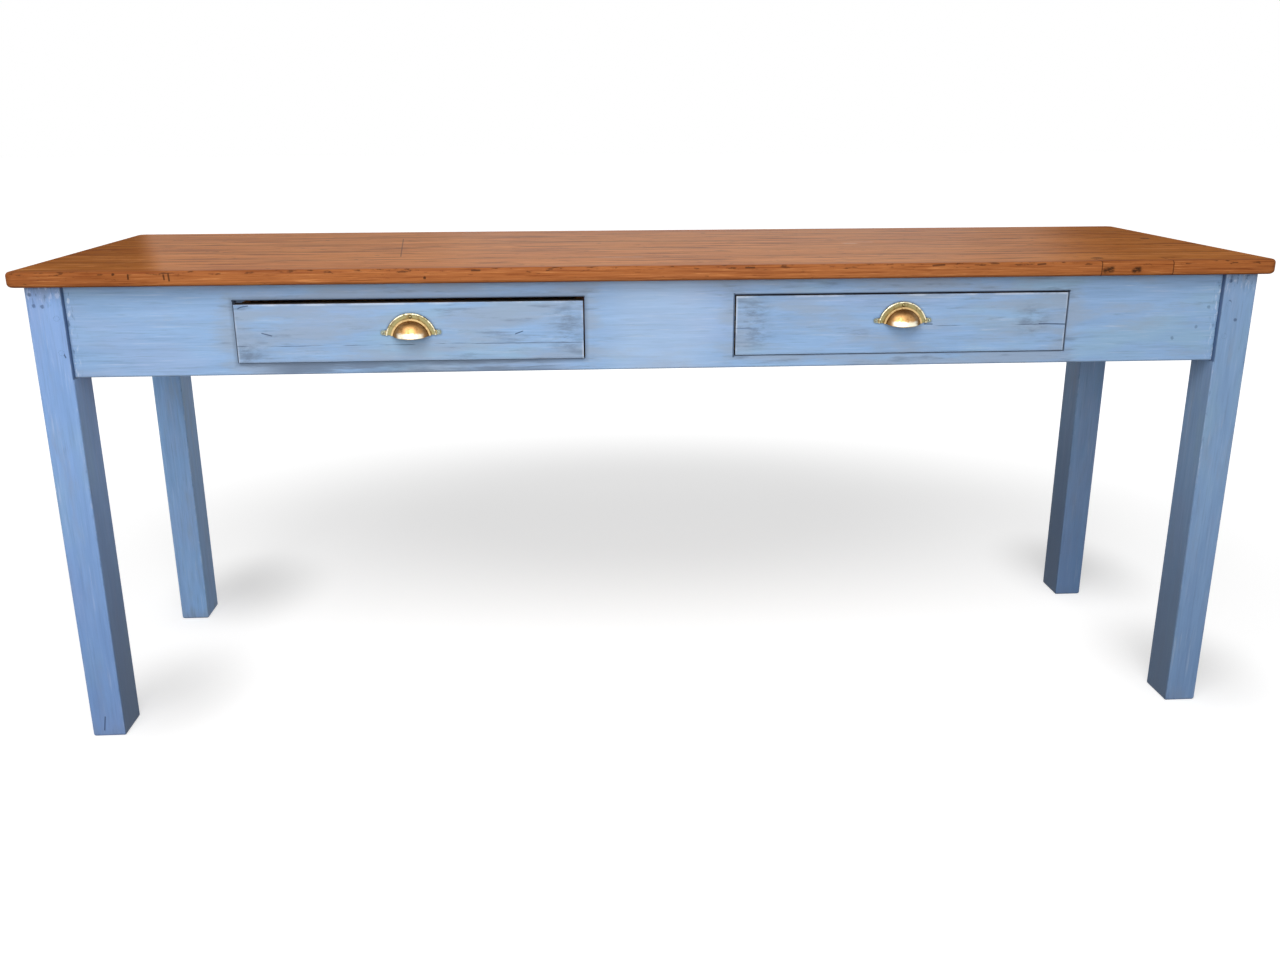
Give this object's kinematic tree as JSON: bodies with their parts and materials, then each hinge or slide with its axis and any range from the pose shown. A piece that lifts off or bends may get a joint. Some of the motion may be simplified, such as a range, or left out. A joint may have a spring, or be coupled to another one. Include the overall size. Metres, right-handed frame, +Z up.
{
  "type": "kitchen table with drawers",
  "caption": "Long painted pine kitchen table with a waxed plank top on straight pegged legs; drawers with brass cup pulls slide out of its front apron on wooden runners.",
  "frame": {"origin": "on the floor under the middle of the top", "axes": "+X along the length to the right as seen from the drawers, +Y from the drawers to the back, +Z up"},
  "size_m": [1.93, 0.5909, 0.77],
  "materials": {
    "waxed_pine": "aged and waxed, soft sheen",
    "blue_paint": "brushed chalky paint, worn at the arrises",
    "bare_pine": "planed, unfinished, aged",
    "brass": "polished, lightly tarnished",
    "steel": "dull with age"
  },
  "bodies": {
    "table": {"apron_back": "blue_paint", "apron_left": "blue_paint", "apron_right": "blue_paint", "front_panel_centre": "blue_paint", "front_panel_left": "blue_paint", "front_panel_right": "blue_paint", "glue_blocks": "bare_pine", "guide_left_drawer_left": "bare_pine", "guide_left_drawer_right": "bare_pine", "guide_right_drawer_left": "bare_pine", "guide_right_drawer_right": "bare_pine", "joint_pegs": "blue_paint", "kicker_left_drawer_left": "bare_pine", "kicker_left_drawer_right": "bare_pine", "kicker_right_drawer_left": "bare_pine", "kicker_right_drawer_right": "bare_pine", "kicker_screws": "steel", "leg_back_left": "blue_paint", "leg_back_right": "blue_paint", "leg_front_left": "blue_paint", "leg_front_right": "blue_paint", "rail_above_left_drawer": "blue_paint", "rail_above_right_drawer": "blue_paint", "rail_below_left_drawer": "blue_paint", "rail_below_right_drawer": "blue_paint", "runner_left_drawer_left": "bare_pine", "runner_left_drawer_right": "bare_pine", "runner_right_drawer_left": "bare_pine", "runner_right_drawer_right": "bare_pine", "stops_left_drawer": "bare_pine", "stops_right_drawer": "bare_pine", "top_board_back": "waxed_pine", "top_board_fourth": "waxed_pine", "top_board_front": "waxed_pine", "top_board_middle": "waxed_pine", "top_board_second": "waxed_pine", "top_edge_patch": "waxed_pine"},
    "left_drawer": {"left_drawer_back": "bare_pine", "left_drawer_floor": "bare_pine", "left_drawer_floor_nails": "steel", "left_drawer_front": "blue_paint", "left_drawer_left_side": "bare_pine", "left_drawer_pull": "brass", "left_drawer_pull_screws": "brass", "left_drawer_right_side": "bare_pine"},
    "right_drawer": {"right_drawer_back": "bare_pine", "right_drawer_floor": "bare_pine", "right_drawer_floor_nails": "steel", "right_drawer_front": "blue_paint", "right_drawer_left_side": "bare_pine", "right_drawer_pull": "brass", "right_drawer_pull_screws": "brass", "right_drawer_right_side": "bare_pine"}
  },
  "joints": [
    {"name": "left_drawer_slide", "type": "slide", "parent": "table", "child": "left_drawer", "axis": [0, -1, 0], "range_m": [-0.005, 0.395]},
    {"name": "right_drawer_slide", "type": "slide", "parent": "table", "child": "right_drawer", "axis": [0, -1, 0], "range_m": [0, 0.4]}
  ]
}
